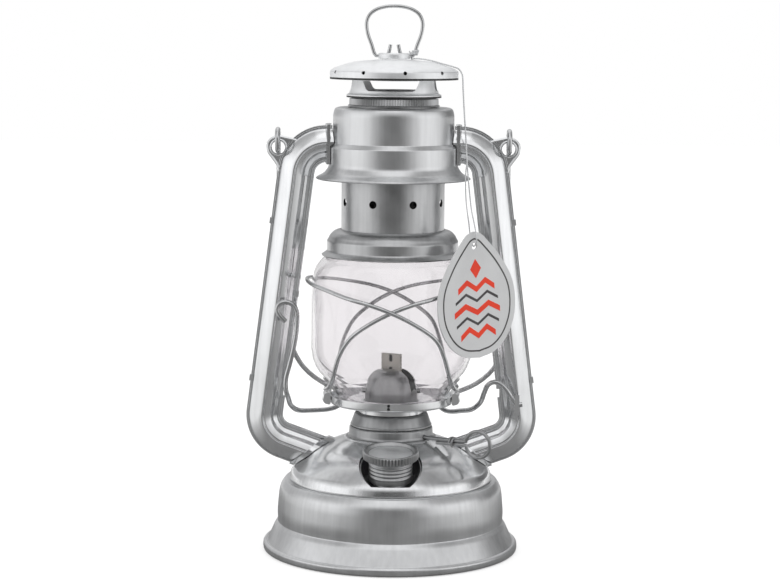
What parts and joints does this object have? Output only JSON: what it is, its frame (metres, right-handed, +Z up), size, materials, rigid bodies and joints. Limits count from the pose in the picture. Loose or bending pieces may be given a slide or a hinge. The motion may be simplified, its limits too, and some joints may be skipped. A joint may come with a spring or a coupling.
{
  "type": "hurricane lantern",
  "caption": "Tin hurricane lantern: oil tank with wick burner, glass globe in a wire guard on a lever lift, sprung chimney, hood, side air tubes and a carrying bail.",
  "frame": {"origin": "on the lantern's axis, on the plane that its foot rests on", "axes": "+Z up, -Y to the front with the filler cap, +X to the right with the lever's bracket"},
  "size_m": [0.1514, 0.1332, 0.2833],
  "materials": {
    "satin_tin": "satin tin plate",
    "bright_tin": "bright tin plate",
    "steel_wire": "bright tinned wire",
    "clear_glass": "clear blown glass",
    "cotton": "woven cotton",
    "rubber": "matt rubber",
    "card": "printed card",
    "silver_string": "twisted silver thread"
  },
  "bodies": {
    "lantern_frame": {"tank_body": "satin_tin", "tank_floor": "satin_tin", "tank_plate": "satin_tin", "tank_dome": "satin_tin", "filler_pan": "satin_tin", "filler_neck": "satin_tin", "burner_collar": "satin_tin", "burner_cone": "satin_tin", "burner_plate": "satin_tin", "burner_dome": "satin_tin", "wick_tube": "satin_tin", "right_tube_front": "bright_tin", "right_tube_back": "bright_tin", "left_tube_front": "bright_tin", "left_tube_back": "bright_tin", "right_tube_foot": "bright_tin", "left_tube_foot": "bright_tin", "right_hood_socket": "bright_tin", "left_hood_socket": "bright_tin", "hood": "satin_tin", "hood_collar": "satin_tin", "hood_baffle": "satin_tin", "lever_bracket": "bright_tin", "chimney_spring": "steel_wire"},
    "globe_carriage": {"globe_plate": "bright_tin", "globe": "clear_glass", "globe_clip_right": "bright_tin", "globe_clip_left": "bright_tin", "guard_lug_right": "bright_tin", "guard_lug_left": "bright_tin", "guard_wire_right": "steel_wire", "guard_wire_left": "steel_wire"},
    "chimney": {"crown": "satin_tin", "chimney_tube": "satin_tin", "chimney_pipe": "satin_tin", "window_ring": "bright_tin", "cap_plate": "bright_tin", "cap_lid": "bright_tin", "cap_boss": "bright_tin", "tag_string": "silver_string", "hang_tag": "card"},
    "finger_ring": {"hand_ring": "steel_wire"},
    "bail": {"carrying_bail": "steel_wire"},
    "lever": {"lift_lever": "steel_wire"},
    "wick_knob": {"wick_shaft": "steel_wire", "wick_spurs": "satin_tin"},
    "wick_strip": {"wick": "cotton"},
    "cap_seal": {"filler_seal": "rubber"},
    "tank_cap": {"filler_cap": "satin_tin"}
  },
  "joints": [
    {"name": "globe_lift", "type": "slide", "parent": "lantern_frame", "child": "globe_carriage", "axis": [0, 0, 1], "range_m": [0, 0.008], "deforming": ["chimney_spring"]},
    {"name": "chimney_lift", "type": "slide", "parent": "globe_carriage", "child": "chimney", "axis": [0, 0, 1], "range_m": [0, 0.018], "stiffness_N_per_m": 150, "springref_m": -0.02, "deforming": ["chimney_spring"]},
    {"name": "finger_ring_tilt", "type": "hinge", "parent": "chimney", "child": "finger_ring", "pos_m": [0, 0, 0.2572], "axis": [1, 0, 0], "range_deg": [-70, 70]},
    {"name": "bail_swing", "type": "hinge", "parent": "lantern_frame", "child": "bail", "pos_m": [0, 0, 0.2135], "axis": [1, 0, 0], "range_deg": [0, 285]},
    {"name": "lever_turn", "type": "hinge", "parent": "lantern_frame", "child": "lever", "pos_m": [0.0642, -0.0099, 0.0783], "axis": [0, 1, 0], "range_deg": [0, 5.5]},
    {"name": "wick_turn", "type": "hinge", "parent": "lantern_frame", "child": "wick_knob", "pos_m": [-0.00186, -0.00365, 0.0612], "axis": [0.891, -0.454, 0], "range_deg": [-167, 126]},
    {"name": "wick_rise", "type": "slide", "parent": "lantern_frame", "child": "wick_strip", "axis": [0, 0, 1], "range_m": [-0.008, 0.006]},
    {"name": "seal_rise", "type": "slide", "parent": "lantern_frame", "child": "cap_seal", "axis": [0, -0.1478, 0.989], "range_m": [0, 0.006]},
    {"name": "cap_turn", "type": "hinge", "parent": "cap_seal", "child": "tank_cap", "pos_m": [0, -0.0402, 0.0596], "axis": [0, -0.1478, 0.989], "range_deg": [0, 1082]}
  ],
  "couplings": [
    {"joint": "lever_turn", "follows": "globe_lift", "rad_per_m": 11.57},
    {"joint": "wick_turn", "follows": "wick_rise", "rad_per_m": 363.64},
    {"joint": "cap_turn", "follows": "seal_rise", "rad_per_m": 3141.6}
  ]
}
